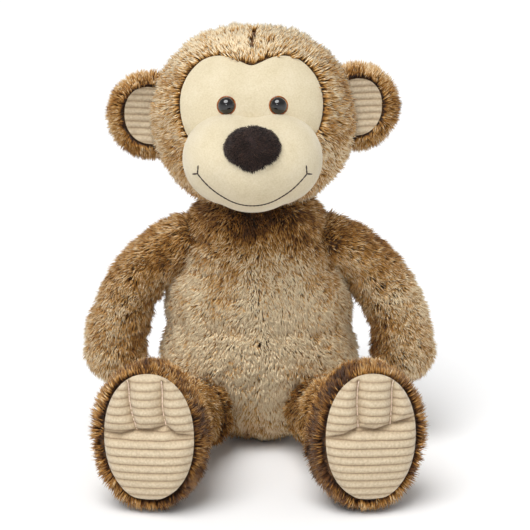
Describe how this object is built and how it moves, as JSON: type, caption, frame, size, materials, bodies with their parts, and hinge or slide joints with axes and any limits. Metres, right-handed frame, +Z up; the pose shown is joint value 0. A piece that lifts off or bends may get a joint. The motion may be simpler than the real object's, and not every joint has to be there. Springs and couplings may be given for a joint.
{
  "type": "seated plush monkey",
  "caption": "Seated stuffed monkey with brown plush fur, a cream face, round ears, plump limbs and ribbed corduroy soles.",
  "frame": {"origin": "middle of the flat seat under the body, on the surface that the toy sits on", "axes": "+Z up through the head, -Y out of the face and the soles, +X to the toy's own left"},
  "size_m": [0.242, 0.2332, 0.296],
  "materials": {
    "fur": "long plush pile, dark brown roots and cream tips",
    "face_velour": "short cream velour",
    "nose_plush": "very dark brown short plush",
    "corduroy": "beige ribbed corduroy",
    "eye_black": "glossy black",
    "eye_amber": "glossy amber",
    "washer_plastic": "natural white",
    "dark_thread": "dark brown embroidery thread",
    "cream_thread": "cream sewing thread",
    "brown_thread": "brown sewing thread",
    "stuffing": "white polyester fibre",
    "pellet_bag": "plain woven bag of plastic pellets"
  },
  "bodies": {
    "torso": {"torso_front_panel": "fur", "torso_back_right_panel": "fur", "torso_back_left_panel": "fur", "seat_panel": "fur", "pellet_pouch": "pellet_bag", "torso_stuffing": "stuffing", "back_seam_stitches": "brown_thread"},
    "neck": {"neck_gather_thread": "brown_thread"},
    "head": {"face_mask_panel": "face_velour", "head_right_panel": "fur", "head_left_panel": "fur", "head_back_panel": "fur", "head_stuffing": "stuffing", "muzzle_panel": "face_velour", "muzzle_stuffing": "stuffing", "nose_cover": "nose_plush", "nose_stuffing": "stuffing", "smile_thread": "dark_thread", "eye_right_dome": "eye_black", "eye_right_amber_ring": "eye_amber", "eye_right_lock_washer": "washer_plastic", "eye_left_dome": "eye_black", "eye_left_amber_ring": "eye_amber", "eye_left_lock_washer": "washer_plastic"},
    "ear_right": {"ear_right_fur_back": "fur", "ear_right_lining": "corduroy", "ear_right_batting": "stuffing"},
    "shoulder_right": {"arm_right_gather_thread": "brown_thread"},
    "arm_right": {"arm_right_front_panel": "fur", "arm_right_back_panel": "fur", "arm_right_stuffing": "stuffing"},
    "hip_right": {"leg_right_gather_thread": "brown_thread"},
    "leg_right": {"leg_right_outer_panel": "fur", "leg_right_inner_panel": "fur", "leg_right_sole": "corduroy", "leg_right_stuffing": "stuffing", "leg_right_toe_stitches": "cream_thread"},
    "ear_left": {"ear_left_fur_back": "fur", "ear_left_lining": "corduroy", "ear_left_batting": "stuffing"},
    "shoulder_left": {"arm_left_gather_thread": "brown_thread"},
    "arm_left": {"arm_left_front_panel": "fur", "arm_left_back_panel": "fur", "arm_left_stuffing": "stuffing"},
    "hip_left": {"leg_left_gather_thread": "brown_thread"},
    "leg_left": {"leg_left_outer_panel": "fur", "leg_left_inner_panel": "fur", "leg_left_sole": "corduroy", "leg_left_stuffing": "stuffing", "leg_left_toe_stitches": "cream_thread"}
  },
  "joints": [
    {"name": "neck_turn", "type": "hinge", "parent": "torso", "child": "neck", "pos_m": [-0.001, 0, 0.17], "axis": [0, 0, 1], "range_deg": [-45, 45]},
    {"name": "neck_nod", "type": "hinge", "parent": "neck", "child": "head", "pos_m": [-0.001, 0, 0.17], "axis": [1, 0, 0], "range_deg": [-12, 18]},
    {"name": "ear_right_fold", "type": "hinge", "parent": "head", "child": "ear_right", "pos_m": [-0.0705, 0.002, 0.235], "axis": [0, 0, -1], "range_deg": [-15, 15], "stiffness_Nm_per_rad": 0.02},
    {"name": "arm_right_swing", "type": "hinge", "parent": "torso", "child": "shoulder_right", "pos_m": [-0.051, 0, 0.146], "axis": [1, 0, 0], "range_deg": [-75, 40]},
    {"name": "arm_right_lift", "type": "hinge", "parent": "shoulder_right", "child": "arm_right", "pos_m": [-0.051, 0, 0.146], "axis": [0, 1, 0], "range_deg": [-5, 45]},
    {"name": "leg_right_raise", "type": "hinge", "parent": "torso", "child": "hip_right", "pos_m": [-0.044, -0.05, 0.033], "axis": [-1, 0, 0], "range_deg": [-75, 35]},
    {"name": "leg_right_spread", "type": "hinge", "parent": "hip_right", "child": "leg_right", "pos_m": [-0.044, -0.05, 0.033], "axis": [0, 0, -1], "range_deg": [-10, 25]},
    {"name": "ear_left_fold", "type": "hinge", "parent": "head", "child": "ear_left", "pos_m": [0.0625, 0.002, 0.241], "axis": [0, 0, 1], "range_deg": [-15, 15], "stiffness_Nm_per_rad": 0.02},
    {"name": "arm_left_swing", "type": "hinge", "parent": "torso", "child": "shoulder_left", "pos_m": [0.051, 0, 0.146], "axis": [1, 0, 0], "range_deg": [-75, 40]},
    {"name": "arm_left_lift", "type": "hinge", "parent": "shoulder_left", "child": "arm_left", "pos_m": [0.051, 0, 0.146], "axis": [0, -1, 0], "range_deg": [-5, 45]},
    {"name": "leg_left_raise", "type": "hinge", "parent": "torso", "child": "hip_left", "pos_m": [0.044, -0.05, 0.033], "axis": [-1, 0, 0], "range_deg": [-75, 35]},
    {"name": "leg_left_spread", "type": "hinge", "parent": "hip_left", "child": "leg_left", "pos_m": [0.044, -0.05, 0.033], "axis": [0, 0, 1], "range_deg": [-10, 25]}
  ]
}
